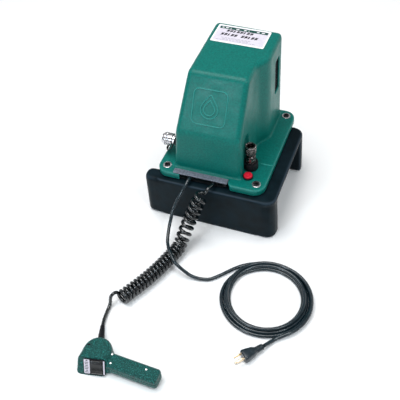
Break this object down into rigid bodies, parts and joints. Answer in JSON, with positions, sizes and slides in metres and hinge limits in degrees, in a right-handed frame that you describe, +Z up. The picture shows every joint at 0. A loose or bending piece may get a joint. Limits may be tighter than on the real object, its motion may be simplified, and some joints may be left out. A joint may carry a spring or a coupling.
{
  "type": "electric hydraulic power pump with pendant control",
  "caption": "Electric hydraulic power pump on an oil reservoir, with a sloped green shroud, quick couplers, a coiled mains cord and a curly cord to a hand-held rocker switch.",
  "frame": {"origin": "centre of the reservoir's underside, on the floor", "axes": "+Z up out of the floor; the shroud's sloping front panel, both cords and the pendant are towards -Y; +X is to the right seen from the front"},
  "size_m": [0.4371, 0.7268, 0.3559],
  "materials": {
    "tank": "satin moulded black plastic",
    "green_casting": "green textured enamel over a sand casting",
    "black_oxide": "black oxide",
    "gasket_rubber": "matte black rubber",
    "vent_plastic": "matte dark plastic",
    "label_film": "satin printed film",
    "washer_steel": "bright plate",
    "zinc_strip": "zinc plate",
    "gland_rubber": "moulded black rubber",
    "red_plastic": "glossy red",
    "coupler_steel": "turned steel",
    "coupler_chrome": "bright nickel plate",
    "motor_iron": "dark lacquered iron",
    "cast_aluminium": "as cast",
    "inner_steel": "ground steel",
    "copper": null,
    "carbon": null,
    "pump_iron": "machined cast iron",
    "brass": "turned brass and mesh",
    "power_jacket": "satin blue-grey black jacket",
    "pendant_jacket": "satin blue-grey black jacket",
    "pendant_plastic": "stippled dark green moulding",
    "rocker_plastic": "matte black"
  },
  "bodies": {
    "pump": {"reservoir": "tank", "shroud": "green_casting", "pump_plate": "black_oxide", "flange_screw_1": "black_oxide", "flange_screw_2": "black_oxide", "flange_screw_3": "black_oxide", "flange_screw_4": "black_oxide", "supply_adapter": "black_oxide", "return_adapter": "black_oxide", "reservoir_gasket": "gasket_rubber", "vent_grille": "vent_plastic", "name_label": "label_film", "pendant_face": "label_film", "flange_washer_1": "washer_steel", "flange_washer_2": "washer_steel", "flange_washer_3": "washer_steel", "flange_washer_4": "washer_steel", "clamp_bar": "zinc_strip", "power_gland": "gland_rubber", "pendant_gland": "gland_rubber", "supply_body": "coupler_steel", "return_body": "coupler_steel", "motor_can": "motor_iron", "motor_stator": "motor_iron", "valve_solenoid": "motor_iron", "motor_end_cap": "cast_aluminium", "gear_case": "cast_aluminium", "valve_block": "cast_aluminium", "upper_bearing": "inner_steel", "lower_bearing": "inner_steel", "piston_front": "inner_steel", "piston_rear": "inner_steel", "brush_left": "carbon", "brush_right": "carbon", "pump_block": "pump_iron", "suction_strainer": "brass", "relief_valve": "brass", "power_cord": "power_jacket", "power_coil": "power_jacket", "power_tail": "power_jacket", "power_plug": "power_jacket", "pendant_exit": "pendant_jacket", "pendant_coil": "pendant_jacket", "pendant_lead": "pendant_jacket", "pendant_relief": "pendant_jacket", "pendant_shell_lower": "pendant_plastic", "pendant_shell_upper": "pendant_plastic"},
    "armature_body": {"armature": "inner_steel", "commutator": "copper", "cooling_fan": "cast_aluminium"},
    "crank_body": {"drive_gear": "inner_steel", "crankshaft": "inner_steel"},
    "supply_sleeve_body": {"supply_sleeve": "coupler_chrome"},
    "supply_poppet_body": {"supply_poppet": "coupler_steel"},
    "return_sleeve_body": {"return_sleeve": "black_oxide"},
    "return_poppet_body": {"return_poppet": "coupler_steel"},
    "filler_seal_body": {"filler_seal": "gasket_rubber"},
    "filler_cap_body": {"filler_cap": "red_plastic"},
    "valve_plunger_body": {"valve_plunger": "inner_steel"},
    "rocker_body": {"pendant_rocker": "rocker_plastic"}
  },
  "joints": [
    {"name": "motor_spin", "type": "hinge", "parent": "pump", "child": "armature_body", "pos_m": [0.008, 0.062, 0.2], "axis": [0, 0, 1], "continuous": true},
    {"name": "crank_spin", "type": "hinge", "parent": "pump", "child": "crank_body", "pos_m": [0.008, 0.032, 0.1], "axis": [0, 0, 1], "continuous": true},
    {"name": "supply_sleeve_slide", "type": "slide", "parent": "pump", "child": "supply_sleeve_body", "axis": [1, 0, 0], "range_m": [0, 0.006], "stiffness_N_per_m": 2000, "springref_m": -0.002},
    {"name": "supply_poppet_slide", "type": "slide", "parent": "pump", "child": "supply_poppet_body", "axis": [1, 0, 0], "range_m": [0, 0.005], "stiffness_N_per_m": 1000, "springref_m": -0.002},
    {"name": "return_sleeve_slide", "type": "slide", "parent": "pump", "child": "return_sleeve_body", "axis": [0, 0, -1], "range_m": [0, 0.006], "stiffness_N_per_m": 2000, "springref_m": -0.002},
    {"name": "return_poppet_slide", "type": "slide", "parent": "pump", "child": "return_poppet_body", "axis": [0, 0, -1], "range_m": [0, 0.005], "stiffness_N_per_m": 1000, "springref_m": -0.002},
    {"name": "filler_lift", "type": "slide", "parent": "pump", "child": "filler_seal_body", "axis": [0, 0, 1], "range_m": [0, 0.006]},
    {"name": "filler_turn", "type": "hinge", "parent": "filler_seal_body", "child": "filler_cap_body", "pos_m": [0.0806, -0.0784, 0.135], "axis": [0, 0, 1], "range_deg": [0, 720]},
    {"name": "valve_plunger_slide", "type": "slide", "parent": "pump", "child": "valve_plunger_body", "axis": [0, 0, 1], "range_m": [0, 0.004], "stiffness_N_per_m": 1500, "springref_m": -0.002},
    {"name": "rocker_tilt", "type": "hinge", "parent": "pump", "child": "rocker_body", "pos_m": [-0.0761, -0.54782, 0.019], "axis": [0.9803, 0.1977, 0], "range_deg": [-9, 9], "stiffness_Nm_per_rad": 0.5}
  ],
  "couplings": [
    {"joint": "crank_spin", "follows": "motor_spin", "ratio": -0.25},
    {"joint": "filler_lift", "follows": "filler_turn", "m_per_rad": 0.00047746}
  ]
}
